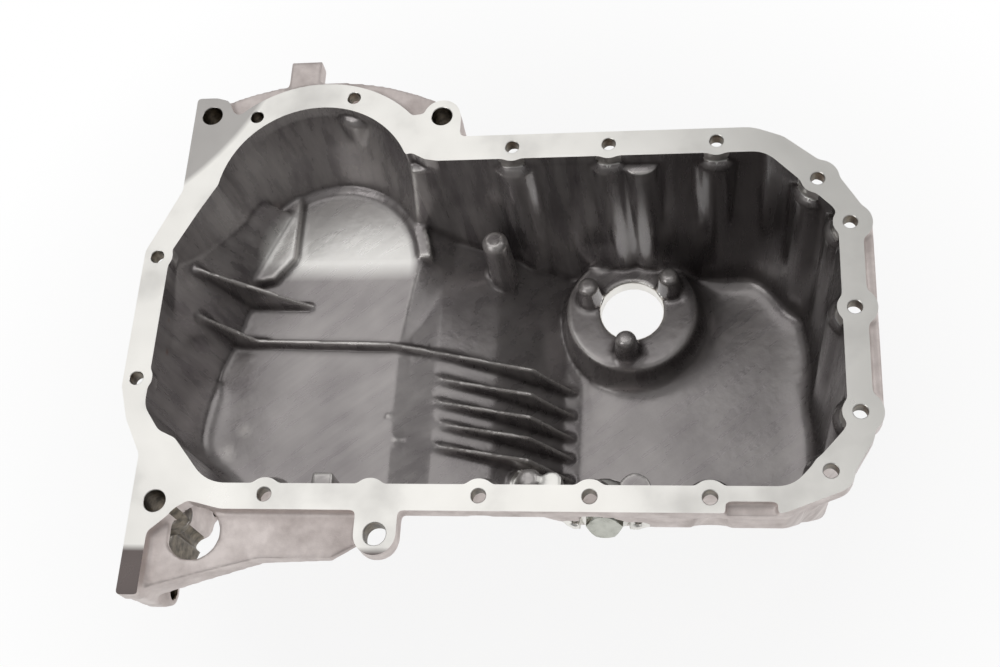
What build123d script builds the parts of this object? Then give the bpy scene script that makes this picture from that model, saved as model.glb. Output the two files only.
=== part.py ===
from build123d import *
from math import cos, radians, sin, tan
import os

# Cast aluminium engine oil pan with its two screw plugs, gasket face up.
# +X points to the front of the engine, +Y across it and +Z up out of the gasket face.
# The origin lies in the gasket face, midway between the two middle rail bolts.
# A shallow bay at the rear drains down a ramp into the deep sump at the front.

# Gasket flange: a frame that follows the block, milled flat on top.
flange_thickness = 12.0
seat_thickness = 10.0
rail_outer_y = 121.7
front_outer_x = 151.6
front_ledge_x = 157.8
bulge_x = -285.3
gearbox_face_x = -267.4
gearbox_plate = 12.4
wing_near_y = -172.0
wing_far_y = 157.0

# Cavity edge at the gasket face and the shell below it.
rail_far_y = 104.5
rail_near_y = -106.3
cavity_front_x = 137.8
cavity_rear_x = -269.0
near_corner_x = 107.0
near_corner_y = -71.0
shell = 4.6
draft = 2.0
near_allowance = 5.0
sump_near_wall = ((rail_near_y, 0.0), (-107.0, -62.0), (-72.0, -160.5))
bay_near_wall = ((rail_near_y, 0.0), (-103.5, -40.0), (-68.5, -160.5))
near_turn_x = (-52.0, -14.0)

# Round lobe over the gearbox side of the bay: a leaning cone.
lobe_x = -182.0
lobe_y = 84.0
lobe_r = 63.0
lobe_outer_r = 80.7
lobe_foot_x = -184.1
lobe_foot_y = 68.4
lobe_foot_z = -100.0
lobe_foot_r = 58.8

# Floors, all measured down from the gasket face.
sump_floor = -160.5
floor_wall = 5.5
bay_floor = -87.0
bay_far_floor = -78.5
bay_tilt_near_y = 16.0
bay_tilt_far_y = 76.0
floor_profile = (
    (-140.0, bay_floor),
    (-115.0, -95.5),
    (-79.0, -119.5),
    (-37.0, -156.0),
    (-26.0, sump_floor),
)

# The rear end wall leans more and more towards its far side.
end_wall_top_x = -270.5
end_wall_z = -84.0
end_wall_foot = ((-62.0, -268.5), (0.0, -259.0), (50.0, -239.5), (110.0, -208.0))

# Shelf under the lobe, with a sunken half-round pad and a bench beside it.
shelf_z = -75.5
bench_z = -73.0
pad_x = -184.0
pad_y = 73.0
pad_r = 55.4
shelf_r = 64.0
pad_left_x = -213.0
pad_near_y = 76.5

# Bolt holes through the flange: rail bolts and larger bolts on the gearbox side.
rail_bolt_y = 112.8
rail_bolt_r = 4.2
large_bolt_r = 6.6
middle_bolt_x = 2.8
far_rail_x = (-57.1, middle_bolt_x, 68.2)
near_rail_x = (-188.5, -64.7, -middle_bolt_x, 62.7)
front_bolts = ((127.2, 84.7), (144.7, 55.0), (144.7, 0.3), (144.7, -63.1), (127.4, -97.3))
rear_bolts = ((-277.0, 40.9), (-277.0, -40.9))
lobe_bolts = ((-225.2, 141.3), (-161.9, 153.3))
corner_bolts = ((-255.7, 143.5), (-253.3, -117.3))
ear_bolt = (-103.2, 137.2)
eye_bolt = (-121.9, -135.4)
ear_r = 11.8
ear_foot_r = 10.3
eye_r = 12.1
eye_thickness = 13.5
ear_depth = 42.0
ear_edge_x = -90.8
corner_boss_r = 11.5
corner_boss_depth = 34.0

# Bolt sockets: a channel outside the wall and a column round it inside.
nose_r = 10.0
front_boss_r = 12.8
channel_r = 10.0
column_wall = 4.7
column_growth = 1.8
double_column_x = 21.6
double_column_y = 110.6
double_column_r = 13.0
double_column_top = -4.0

# Ribs down the ramp and two gussets on the end wall.
rib_width = 3.0
rib_skew = -2.0
rib_pivot_x = -85.0
rib_start_height = 1.5
rib_bend = (-54.0, -117.5)
rib_foot = (-27.0, sump_floor)
ridge_z = -79.5
ridge_start_x = -240.0
ridge_end_x = -144.0
ridge_y = 13.5
rib_starts = ((-126.0, -4.0), (-126.0, -20.0), (-143.0, -34.5), (-138.0, -50.0))
gusset_y = 40.0
gusset_tip = (-262.0, -27.0)
gusset_foot = (-196.0, -84.0)
ridge_gusset_tip = (-264.5, -36.0)
ridge_gusset_foot = (-234.0, ridge_z)

# Level sensor seat raised above the sump floor; its screws come from below.
sensor_x = 9.7
sensor_y = 65.2
seat_top_z = -139.0
seat_face_z = -152.0
seat_top_r = 44.5
seat_foot_r = 52.3
seat_recess_r = 36.0
sensor_bore_r = 21.5
sensor_bolt_circle_r = 30.4
sensor_bolt_angles = (32.0, 162.0, 265.0)
sensor_thread_r = 2.5
sensor_thread_depth = 27.0
stud_foot_r = 9.0
stud_top_r = 6.8
stud_height = 22.0
stud_bevel = 0.45

# Free-standing studs and pads inside the walls: (x, y), radius, top.
tall_stud = (-77.0, 84.0)
tall_stud_foot_r = 10.0
tall_stud_top_r = 8.5
tall_stud_foot_z = -125.0
tall_stud_top_z = -67.0
dome_stud = (-40.8, -94.0)
dome_stud_foot_r = 8.2
dome_stud_top_r = 7.5
dome_stud_top_z = -26.0
side_stud_foot_z = -75.0
flat_stud = (-28.0, -94.6)
flat_stud_r = 6.7
flat_stud_top_z = -30.0
half_pad = (20.8, -101.3)
half_pad_r = 9.3
half_pad_top_z = -20.0
square_pad_x = (-166.0, -153.0)
square_pad_y = -95.0
square_pad_z = (-34.0, -13.0)

# Gearbox flange wall across the rear, with its bolts along X: (y, z).
gearbox_outline = (
    (wing_near_y, 0.0),
    (-168.0, -48.0),
    (-150.0, -66.0),
    (-105.0, -104.0),
    (105.0, -104.0),
    (142.0, -66.0),
    (wing_far_y, -42.0),
    (wing_far_y, 0.0),
)
gearbox_bolts = ((-157.5, -47.5), (127.0, -66.0), (-92.0, -96.0), (92.0, -96.0))
gearbox_bolt_r = 5.3
gearbox_boss_r = 9.5
gearbox_boss_length = 15.0

# Stiffening ribs under the bay.
keel_y = (-80.0, -40.0, 0.0, 40.0, 80.0)
keel_width = 4.0
keel_rear_z = -103.0
keel_front_x = -118.0
keel_front_z = -97.0

# Hollow bracket beside the near wing, with a flat-sided hole in its top.
bracket_top = -7.0
bracket_skin = 5.0
bracket_rear_z = -29.0
bracket_front_z = -12.0
bracket_front_x = -134.0
bracket_hole = (-230.3, -133.8)
bracket_hole_r = 15.8
bracket_hole_flat_x = -245.0

# Shoulder ring beyond the lobe and the lifting tab on it.
shoulder_x = -183.0
shoulder_y = 3.5
shoulder_r = 166.0
shoulder_top = -5.0
shoulder_bottom = -25.0
shoulder_span = (-250.0, -106.0)
shoulder_near_y = 125.0
tab_x = (-207.8, -187.0)
tab_length = 15.5
tab_root = 12.0
tab_z = (-15.0, -3.0)

# Low edge at the front and the step in the near rail.
front_ledge = (-62.0, 52.0)
front_ledge_z = -4.0
rail_step_x = (70.8, 98.8)
rail_step_y = -115.0
rail_step_z = -6.0

# Screw plugs: hexagon head, collar and thread, with a soft washer under the collar.
plug_thread_r = 7.0
thread_gap = 0.06
plug_thread_length = 13.0
plug_across_flats = 19.0
plug_head_height = 6.0
plug_collar_r = 11.2
plug_collar_height = 2.0
plug_lead = 1.2
plug_bevel = 0.7
washer_outer_r = 10.6
washer_thickness = 1.5
washer_gap = 0.15
plug_boss_r = 15.0
spot_face_depth = 6.0

# Return port in the near wall, tilted up, between two small tapped holes.
port_seat = (0.6, -103.5, -66.5)
port_tilt = 24.0
port_boss_length = 17.0
port_ear_pitch = 37.4
port_ear_shift = (1.2, 1.0)
port_ear_width = 13.0
port_ear_margin = 1.5
port_ear_height = 6.6
port_ear_root = 9.0
port_ear_thread_r = 2.1
port_ear_thread_depth = 11.0

# Drain, square to the ramp at its near lower corner.
drain_seat = (-63.5, -66.0, -146.5)
drain_tilt = 41.0
drain_boss_length = 13.0

plug_stack = washer_thickness + plug_collar_height + plug_head_height
plate_x = gearbox_face_x + gearbox_plate
column_r = channel_r + column_wall
rail_bolts = [(x, rail_bolt_y) for x in far_rail_x] + [(x, -rail_bolt_y) for x in near_rail_x]
small_bolts = rail_bolts + list(front_bolts + rear_bolts + lobe_bolts)
large_bolts = list(corner_bolts) + [ear_bolt, eye_bolt]
socket_bolts = rail_bolts + list(front_bolts) + [lobe_bolts[1]]
eye_root = (-127.0, -rail_bolt_y)
nose_bolts = rail_bolts + list(front_bolts + rear_bolts) + [eye_root]
sensor_screws = [
    (sensor_x + sensor_bolt_circle_r * cos(radians(a)), sensor_y + sensor_bolt_circle_r * sin(radians(a)))
    for a in sensor_bolt_angles
]
outer_bottom = sump_floor - floor_wall
below = outer_bottom - 40.0
slope_run = 400.0
overrun = 5.0
overlap = 1.0


def cavity_corners(near_y):
    # Inner edge, counter-clockwise, as (x, y, corner radius).
    corner_slope = (cavity_front_x - near_corner_x) / (near_corner_y - rail_near_y)
    return [
        (cavity_rear_x, -59.0, 15),
        (-258.0, -74.0, 7),
        (-247.0, -79.0, 7),
        (-224.0, near_y, 24),
        (near_corner_x + (near_y - rail_near_y) * corner_slope, near_y, 18),
        (cavity_front_x, near_corner_y, 14),
        (cavity_front_x, 62.5, 14),
        (97.0, rail_far_y, 18),
        (-136.0, rail_far_y, 0),
        (lobe_x, 120.0, 0),
        (-240.0, 100.0, 0),
        (-254.5, 73.0, 20),
        (cavity_rear_x, 43.0, 14),
    ]


def outline(corners):
    points = [(x, y) for x, y, radius in corners]
    radii = [radius for x, y, radius in corners]
    return make_face(FilletPolyline(*points, radius=radii, close=True))


def widened(corners, distance):
    # The same counter-clockwise outline, every edge moved outwards.
    moved = []
    for i, (x, y, radius) in enumerate(corners):
        before = corners[i - 1]
        after = corners[(i + 1) % len(corners)]
        along = Vector(x - before[0], y - before[1]).normalized()
        ahead = Vector(after[0] - x, after[1] - y).normalized()
        reach = distance / (1 + along.dot(ahead))
        moved.append((x + reach * (along.Y + ahead.Y), y - reach * (along.X + ahead.X), radius))
    return moved


def slab(sketch, bottom, top):
    return extrude(Pos(0, 0, bottom) * sketch, top - bottom, dir=(0, 0, 1))


def block(x, y, z):
    return slab(Polygon((x[0], y[0]), (x[1], y[0]), (x[1], y[1]), (x[0], y[1]), align=None), z[0], z[1])


def rod(place, radius, bottom, top):
    return slab(Pos(*place) * Circle(radius), bottom, top)


def rod_along_x(y, z, radius, rear, length):
    return Pos(rear + length / 2, y, z) * Rot(0, 90, 0) * Cylinder(radius, length)


def prism_along_y(points, near, far):
    face = Pos(0, near, 0) * (Plane.XZ * Polygon(*points, align=None))
    return extrude(face, far - near, dir=(0, 1, 0))


def prism_along_x(points, rear, front):
    face = Pos(rear, 0, 0) * (Plane.YZ * Polygon(*points, align=None))
    return extrude(face, front - rear, dir=(1, 0, 0))


def ruled_xz(sections):
    # Straight-sided loft through (x, z) outlines at their stations in y.
    faces = [Pos(0, y, 0) * (Plane.XZ * Polygon(*points, align=None)) for points, y in sections]
    return loft(faces, ruled=True)


def cone(place, foot_r, top_r, foot_z, top_z):
    height = top_z - foot_z
    return Pos(place[0], place[1], foot_z + height / 2) * Cone(foot_r, top_r, height)


def stud(place, foot_r, top_r, foot_z, top_z):
    # Round stud with a bevelled end.
    body = cone(place, foot_r, top_r, foot_z, top_z)
    return chamfer(body.edges().sort_by(Axis.Z)[-1], stud_bevel * top_r)


def floor_z(x):
    # Height of the bay, ramp or sump floor at a station along the pan.
    if x <= floor_profile[0][0]:
        return bay_floor
    for (x0, z0), (x1, z1) in zip(floor_profile, floor_profile[1:]):
        if x <= x1:
            return z0 + (z1 - z0) * (x - x0) / (x1 - x0)
    return sump_floor


def flange_plan():
    # Outer edge of the milled flange, counter-clockwise from the near rear corner.
    frame = outline([
        (gearbox_face_x, wing_near_y, 0),
        (plate_x, wing_near_y, 0),
        (plate_x, -135.8, 0),
        (-234.0, -116.8, 5),
        (-213.0, -rail_outer_y, 14),
        (101.0, -rail_outer_y, 25),
        (130.0, -110.0, 0),
        (140.0, -98.0, 0),
        (front_outer_x, -78.0, 8),
        (front_outer_x, 66.0, 8),
        (140.0, 85.0, 0),
        (127.0, 98.5, 0),
        (108.0, 114.5, 12),
        (90.0, rail_outer_y, 25),
        (ear_edge_x, rail_outer_y, 0),
        (ear_edge_x, ear_bolt[1], 0),
        (-118.7, 139.1, 0),
        (lobe_x, 124.0, 0),
        (-232.0, 142.0, 0),
        (-241.0, 144.5, 3),
        (-246.0, 154.5, 4),
        (-254.4, wing_far_y, 3),
        (gearbox_face_x, wing_far_y, 0),
        (gearbox_face_x, 88.0, 0),
        (-276.0, 67.0, 10),
        (bulge_x, 45.0, 10),
        (bulge_x, -46.0, 10),
        (-279.0, -67.0, 10),
        (gearbox_face_x, -89.0, 0),
    ])
    bosses = [Pos(x, y) * Circle(front_boss_r) for x, y in front_bolts]
    lobe = Pos(lobe_x, lobe_y) * Circle(lobe_outer_r)
    return frame + lobe + Pos(*ear_bolt) * Circle(ear_r) + bosses


def flange_opening():
    # Cavity at the gasket face: the wall line, the lobe and the curve that joins them.
    blend = [(-98.0, 100.0), (-104.0, rail_far_y), (-112.0, 106.0), (-121.0, 111.0), (-150.0, 100.0)]
    opening = outline(cavity_corners(rail_near_y)) + Pos(lobe_x, lobe_y) * Circle(lobe_r)
    opening += Polygon(*blend, align=None)
    for place in nose_bolts:
        opening -= Pos(*place) * Circle(nose_r)
    return opening


def bench_corner():
    corner = [(pad_left_x, pad_near_y), (-260.0, pad_near_y), (-250.0, 57.0), (-226.0, 61.0)]
    return slab(Polygon(*corner, align=None), below, overlap)


def floor_block(drop):
    # Everything under the floor, sunk by the floor wall to give the underside.
    ground = [(-slope_run, bay_floor), *floor_profile, (slope_run, sump_floor)]
    body = prism_along_y(ground + [(slope_run, below), (-slope_run, below)], -slope_run, slope_run)
    deep_rear = (-slope_run, bay_floor - shell)
    near = [deep_rear, (-118.0, -98.0), (-140.0, bay_floor), (-slope_run, bay_floor)]
    far = [deep_rear, (-103.0, -106.0), (-128.0, bay_far_floor), (-slope_run, bay_far_floor)]
    tilt = [(near, bay_tilt_near_y), (far, bay_tilt_far_y), (far, rail_outer_y + lobe_r)]
    body += ruled_xz(tilt)
    return Pos(0, 0, -drop) * body


def shelf():
    # Raised ledge, sunken pad and bench on the floor under the lobe.
    deep = bay_floor - shell
    body = rod((pad_x, pad_y), shelf_r, deep, shelf_z)
    body -= rod((pad_x, pad_y), pad_r, bay_far_floor, 0)
    body += block((end_wall_top_x, pad_left_x), (57.0, rail_outer_y), (deep, bench_z))
    return body - (block((end_wall_top_x, -100.0), (0, pad_near_y), (deep - overlap, 0)) - bench_corner())


def end_wedge(grow):
    # What the leaning end wall takes off the rear of the room.
    top_x = end_wall_top_x - grow
    sections = []
    for y, foot_x in end_wall_foot:
        lean = (foot_x - end_wall_top_x) / (end_wall_z + seat_thickness)
        deep_x = top_x + lean * (below + seat_thickness)
        high_x = top_x + lean * seat_thickness
        points = [(-slope_run, 0.0), (high_x, 0.0), (deep_x, below), (-slope_run, below)]
        sections.append((points, y))
    return ruled_xz(sections)


def near_side(grow):
    # Outside of the near wall, which stands further in along the bay.
    stations = ((-slope_run, bay_near_wall), (near_turn_x[0], bay_near_wall))
    stations += ((near_turn_x[1], sump_near_wall), (slope_run, sump_near_wall))
    sections = []
    for x, wall in stations:
        (kink_y, kink_z), (foot_y, foot_z) = wall[1:]
        deep_y = foot_y + (foot_y - kink_y) * (below - foot_z) / (foot_z - kink_z)
        points = [(-slope_run, 0.0), wall[0], wall[1], (deep_y, below), (-slope_run, below)]
        sections.append(Pos(x, -grow, 0) * (Plane.YZ * Polygon(*points, align=None)))
    return loft(sections, ruled=True)


def room(grow, drop):
    # Space inside the walls; grown by the shell and dropped by the floor it is the outside.
    plan = outline(widened(cavity_corners(rail_near_y - near_allowance), grow))
    top = -seat_thickness
    body = extrude(Pos(0, 0, top) * plan, top - outer_bottom + overrun, dir=(0, 0, -1), taper=draft)
    lobe_top = Pos(lobe_x, lobe_y, top) * Circle(lobe_r + grow)
    lobe_foot = Pos(lobe_foot_x, lobe_foot_y, lobe_foot_z) * Circle(lobe_foot_r + grow)
    body += loft([lobe_foot, lobe_top])
    return body - end_wedge(grow) - near_side(grow) - floor_block(drop)


def rib(points, y):
    # Thin blade across the ramp, turned a little about its own line.
    blade = prism_along_y(points, -rib_width / 2, rib_width / 2)
    return Pos(rib_pivot_x, y) * Rot(0, 0, rib_skew) * Pos(-rib_pivot_x, 0) * blade


def ribs():
    root = -rib_width
    deep_bend = (rib_bend[0], floor_z(rib_bend[0]) + root)
    deep_foot = (rib_foot[0], rib_foot[1] + root)
    body = []
    for x, y in rib_starts:
        crest = [(x, floor_z(x) + root), (x, floor_z(x) + rib_start_height), rib_bend, rib_foot]
        body.append(rib(crest + [deep_foot, deep_bend], y))
    ridge = [(ridge_start_x, bay_floor + root), (ridge_start_x, ridge_z), (ridge_end_x, ridge_z)]
    ramp = [(x, z + root) for x, z in reversed(floor_profile)]
    body.append(rib(ridge + [rib_bend, rib_foot, deep_foot] + ramp[1:], ridge_y))
    buried_x = gearbox_face_x + shell / 2
    for tip, foot, y in ((gusset_tip, gusset_foot, gusset_y), (ridge_gusset_tip, ridge_gusset_foot, ridge_y)):
        web = [(buried_x, tip[1]), tip, foot, (foot[0], bay_floor + root), (buried_x, bay_floor + root)]
        body.append(rib(web, y))
    return body


def channels(radius):
    # Round channels below the bolt seats, open downwards, all round the rail.
    return [cone(place, radius + column_growth, radius, below, -seat_thickness) for place in socket_bolts]


def columns():
    # The channels seen from inside the room, one wall thicker, and the double column.
    wide = double_column_r + column_growth
    double = cone((double_column_x, double_column_y), wide, double_column_r, below, double_column_top)
    return channels(column_r) + [double]


def gearbox_wall():
    # Rear flange wall with bosses for the gearbox bolts.
    body = prism_along_x(gearbox_outline, gearbox_face_x, plate_x)
    for y, z in gearbox_bolts:
        body += rod_along_x(y, z, gearbox_boss_r, gearbox_face_x, gearbox_boss_length)
    return body


def keels():
    # Triangular stiffening ribs between the gearbox wall and the ramp.
    rear_x = plate_x - overlap
    top = bay_floor - 2 * overlap
    side = [(rear_x, keel_rear_z), (rear_x, top), (keel_front_x, top), (keel_front_x, keel_front_z)]
    return [prism_along_y(side, y - keel_width / 2, y + keel_width / 2) for y in keel_y]


def bracket():
    near_edge = [
        (gearbox_face_x, -169.0),
        (plate_x, -168.0),
        (-251.8, -165.4),
        (-224.0, -157.5),
        (-189.4, -148.3),
        (-147.6, -147.7),
        (bracket_front_x, -140.0),
    ]
    rail_edge = [(bracket_front_x, overlap - rail_outer_y), (gearbox_face_x, overlap - rail_outer_y)]
    plan = Polygon(*near_edge, *rail_edge, align=None)
    slope = [(plate_x, bracket_rear_z), (bracket_front_x, bracket_front_z)]
    under = prism_along_y([(plate_x, below), *slope, (bracket_front_x, below)], wing_near_y, rail_near_y)
    hollow = slab(offset(plan, -bracket_skin), below, bracket_top - bracket_skin)
    return slab(plan, bracket_rear_z, bracket_top) - under - hollow


# Frames of the two plugs: origin in the seat, z out of the metal.
port_axis = (0, -cos(radians(port_tilt)), sin(radians(port_tilt)))
port = Plane(port_seat, x_dir=(1, 0, 0), z_dir=port_axis)
drain_axis = (-sin(radians(drain_tilt)), 0, -cos(radians(drain_tilt)))
drain = Plane(drain_seat, x_dir=(0, 1, 0), z_dir=drain_axis)


def port_ears(width):
    return Pos(*port_ear_shift) * SlotCenterToCenter(port_ear_pitch, width)


def along(frame, sketch, bottom, top):
    return frame * slab(sketch, bottom, top)


def keep_outs(y_limit, x_limits):
    # Everything nearer than y_limit or beyond the two x limits.
    near = block((-slope_run, slope_run), (-slope_run, y_limit), (below, overlap))
    rear = block((-slope_run, x_limits[0]), (0.0, slope_run), (below, overlap))
    front = block((x_limits[1], slope_run), (0.0, slope_run), (below, overlap))
    return [near, rear, front]


def shoulder():
    # Cast ring beyond the lobe, with the lifting tab on it.
    ring = rod((shoulder_x, shoulder_y), shoulder_r, shoulder_bottom, shoulder_top)
    for cut in keep_outs(shoulder_near_y, shoulder_span):
        ring -= cut
    edge_y = shoulder_y + shoulder_r
    return ring + block(tab_x, (edge_y - tab_root, edge_y + tab_length), tab_z)


def lugs():
    # Eye beside the near rail, ear beside the lobe and bosses under the corner bolts.
    neck_x = (eye_bolt[0] - eye_r, eye_bolt[0] + eye_r)
    body = [rod(eye_bolt, eye_r, -eye_thickness, 0)]
    body.append(block(neck_x, (eye_bolt[1], -rail_bolt_y), (-eye_thickness, 0)))
    body.append(cone(ear_bolt, ear_foot_r, ear_r, -ear_depth, -overlap))
    body.append(block((ear_bolt[0], ear_edge_x), (rail_far_y, ear_bolt[1]), (-ear_depth, -overlap)))
    body += [rod(place, corner_boss_r, -corner_boss_depth, -overlap) for place in corner_bolts]
    return body


def sensor_seat(outside):
    # Raised seat kept inside the outer wall, and the studs round its bore.
    seat = cone((sensor_x, sensor_y), seat_foot_r, seat_top_r, sump_floor - overlap, seat_top_z)
    body = [seat - (block((-90.0, 110.0), (0.0, 150.0), (below, 0.0)) - outside)]
    for place in sensor_screws:
        body.append(stud(place, stud_foot_r, stud_top_r, seat_top_z - overlap, seat_top_z + stud_height))
    return body


def studs():
    body = [stud(tall_stud, tall_stud_foot_r, tall_stud_top_r, tall_stud_foot_z, tall_stud_top_z)]
    body.append(stud(dome_stud, dome_stud_foot_r, dome_stud_top_r, side_stud_foot_z, dome_stud_top_z))
    body.append(rod(flat_stud, flat_stud_r, side_stud_foot_z, flat_stud_top_z))
    body.append(rod(half_pad, half_pad_r, -60.0, half_pad_top_z))
    body.append(block(square_pad_x, (rail_near_y - 3, square_pad_y), square_pad_z))
    return body


def holes():
    # Every hole through or into the metal.
    cuts = [rod(place, rail_bolt_r, below, overlap) for place in small_bolts]
    cuts += [rod(place, large_bolt_r, below, overlap) for place in large_bolts]
    flat = block((bracket_hole_flat_x - bracket_hole_r, bracket_hole_flat_x), (-160.0, -100.0), (below, 0))
    cuts.append(rod(bracket_hole, bracket_hole_r, below, 0) - flat)
    cuts.append(rod((sensor_x, sensor_y), sensor_bore_r, below, seat_top_z + overlap))
    cuts.append(rod((sensor_x, sensor_y), seat_recess_r, below, seat_face_z))
    for place in sensor_screws:
        cuts.append(rod(place, sensor_thread_r, below, seat_face_z + sensor_thread_depth))
    for y, z in gearbox_bolts:
        cuts.append(rod_along_x(y, z, gearbox_bolt_r, gearbox_face_x - overlap, 2 * gearbox_boss_length))
    for frame, boss_length in ((port, port_boss_length), (drain, drain_boss_length)):
        cuts.append(along(frame, Circle(plug_boss_r), 0, plug_stack + spot_face_depth))
        cuts.append(along(frame, Circle(plug_thread_r + thread_gap), -boss_length - overlap, overlap))
    ear_pocket = port_ears(port_ear_width + port_ear_margin)
    cuts.append(along(port, ear_pocket, port_ear_height, plug_stack + spot_face_depth))
    for side in (-1, 1):
        place = Pos(port_ear_shift[0] + side * port_ear_pitch / 2, port_ear_shift[1])
        thread_end = port_ear_height - port_ear_thread_depth
        cuts.append(along(port, place * Circle(port_ear_thread_r), thread_end, port_ear_height + overlap))
    return cuts


def casting():
    outside = room(shell, floor_wall)
    inside = room(0, 0) - shelf()
    for column in columns():
        inside -= column
    body = outside + slab(flange_plan(), -flange_thickness, 0)
    for part in [bracket(), shoulder(), gearbox_wall()] + lugs() + keels():
        body += part
    body += block((front_outer_x - 8, front_ledge_x), front_ledge, (-flange_thickness, front_ledge_z))
    body -= inside
    body -= slab(flange_opening(), -flange_thickness, overlap)
    body -= block(rail_step_x, (-rail_outer_y - overlap, rail_step_y), (rail_step_z, overlap))
    for part in sensor_seat(outside) + studs() + ribs():
        body += part
    for frame, length in ((port, port_boss_length), (drain, drain_boss_length)):
        body += along(frame, Circle(plug_boss_r), -length, 0)
    body += along(port, port_ears(port_ear_width), -port_ear_root, port_ear_height + overlap)
    for cut in holes() + channels(channel_r):
        body -= cut
    return body


def plug():
    # Hexagon head, collar and thread core; origin in the washer seat.
    head_z = washer_thickness + plug_collar_height
    across_corners = plug_across_flats / cos(radians(30))
    body = slab(Circle(plug_thread_r), -plug_thread_length, washer_thickness)
    body = chamfer(body.edges().sort_by(Axis.Z)[0], plug_lead)
    body += slab(Circle(plug_collar_r), washer_thickness, head_z)
    head = slab(RegularPolygon(across_corners / 2, 6), head_z, plug_stack)
    return body + chamfer(head.faces().sort_by(Axis.Z)[-1].edges(), plug_bevel)


def washer():
    ring = Circle(washer_outer_r) - Circle(plug_thread_r + washer_gap)
    return slab(ring, 0, washer_thickness)


os.makedirs("parts", exist_ok=True)
parts = {
    "pan_casting": casting(),
    "port_plug": port * plug(),
    "port_plug_washer": port * washer(),
    "drain_plug": drain * plug(),
    "drain_plug_washer": drain * washer(),
}
for name, shape in parts.items():
    shape.label = name
    export_step(shape, f"parts/{name}.step")
    print(name, round(shape.volume), shape.is_valid, len(shape.solids()))
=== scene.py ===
import math

import bmesh
import bpy
import numpy as np
from mathutils import Matrix, Vector
from mathutils.bvhtree import BVHTree
from mathutils.kdtree import KDTree


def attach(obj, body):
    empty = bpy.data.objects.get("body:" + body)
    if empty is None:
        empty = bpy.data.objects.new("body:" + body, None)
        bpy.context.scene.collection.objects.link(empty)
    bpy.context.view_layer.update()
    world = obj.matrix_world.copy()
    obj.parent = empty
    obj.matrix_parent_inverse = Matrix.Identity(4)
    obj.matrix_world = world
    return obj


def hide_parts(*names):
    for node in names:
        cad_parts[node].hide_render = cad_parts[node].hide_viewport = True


# Cast aluminium engine oil pan with two screw plugs, standing gasket face up on a pale floor.
# The frame is in metres; the settings below are in millimetres.

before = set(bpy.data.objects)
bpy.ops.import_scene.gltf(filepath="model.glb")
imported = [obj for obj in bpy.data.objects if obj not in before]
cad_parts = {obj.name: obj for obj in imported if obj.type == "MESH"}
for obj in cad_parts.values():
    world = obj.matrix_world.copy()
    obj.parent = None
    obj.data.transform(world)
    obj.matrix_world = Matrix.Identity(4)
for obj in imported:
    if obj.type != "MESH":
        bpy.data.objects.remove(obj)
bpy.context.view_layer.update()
print("frame loaded:", sorted(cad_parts))

mm = 0.001


def hexToLinear(code):
    values = [int(code[i:i + 2], 16) / 255 for i in (1, 3, 5)]
    linear = [v / 12.92 if v <= 0.04045 else ((v + 0.055) / 1.055) ** 2.4 for v in values]
    return (*linear, 1.0)


def patternScale(size):
    return 1 / (size * mm)  # a texture scale that repeats about every size millimetres


def addNode(tree, kind, inputs=None, **settings):
    node = tree.nodes.new(kind)
    for name, value in settings.items():
        setattr(node, name, value)
    for key, value in (inputs or {}).items():
        if isinstance(value, bpy.types.NodeSocket):
            tree.links.new(value, node.inputs[key])
        else:
            node.inputs[key].default_value = value
    return node


def newMaterial(name):
    material = bpy.data.materials.new(name)
    material.use_nodes = True
    tree = material.node_tree
    return material, tree, tree.nodes["Principled BSDF"]


def newPiece(name, mesh):
    piece = bpy.data.objects.new(name, mesh)
    bpy.context.scene.collection.objects.link(piece)
    return piece


# Stage: the camera, three soft boxes, a pale floor and a white backdrop

camera = {
    "lens": 50.294,
    "filmWidth": 36.0,
    "spot": (66.88, -346.34, 733.90),
    "forward": (-0.1529, 0.4075, -0.9003),
    "up": (0.0102, 0.9116, 0.4109),
}


def makeCamera():
    back = -Vector(camera["forward"]).normalized()
    right = Vector(camera["up"]).cross(back).normalized()
    up = back.cross(right)
    turn = Matrix((right, up, back)).transposed().to_4x4()
    data = bpy.data.cameras.new("viewCamera")
    data.lens = camera["lens"]
    data.sensor_width = camera["filmWidth"]
    data.clip_start = 0.01
    data.clip_end = 20
    viewCamera = newPiece("viewCamera", data)
    viewCamera.matrix_world = Matrix.Translation(Vector(camera["spot"]) * mm) @ turn
    bpy.context.scene.camera = viewCamera


lamps = {
    "overhead": {
        "spot": (-510, 560, 1300), "target": (-510, 560, 0), "size": (1250, 1700), "radiance": 0.76,
        "turn": 22,
    },
    "nearLeft": {
        "spot": (-1000, -900, 850), "target": (-70, 0, -60), "size": (900, 800), "radiance": 1.5, "turn": 0
    },
    "farRight": {
        "spot": (1300, 650, 800), "target": (-70, 0, -60), "size": (1300, 1100), "radiance": 0.9, "turn": 0
    },
}


def makeLamps():
    for name, lamp in lamps.items():
        width, height = (side * mm for side in lamp["size"])
        data = bpy.data.lights.new(name, "AREA")
        data.shape = "RECTANGLE"
        data.size = width
        data.size_y = height
        data.energy = lamp["radiance"] * math.pi * width * height
        box = newPiece(name, data)
        spot = Vector(lamp["spot"]) * mm
        aim = Vector(lamp["target"]) * mm - spot
        turn = Matrix.Rotation(math.radians(lamp["turn"]), 4, "Z")
        box.matrix_world = Matrix.Translation(spot) @ aim.to_track_quat("-Z", "Y").to_matrix().to_4x4() @ turn


studio = {
    "white": "#FFFFFF",
    "ceiling": "#D8D8D8",
    "horizon": "#8E8E8E",
    "ceilingStrength": 0.52,
    "floorColour": "#EDEDEC",
    "floorSize": 6000,
    "floorHeight": -166.6,
    "clearNear": 0.88,
    "nearRadius": 230,
    "farRadius": 460,
    "centre": (-70, 0, -166),
}


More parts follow.
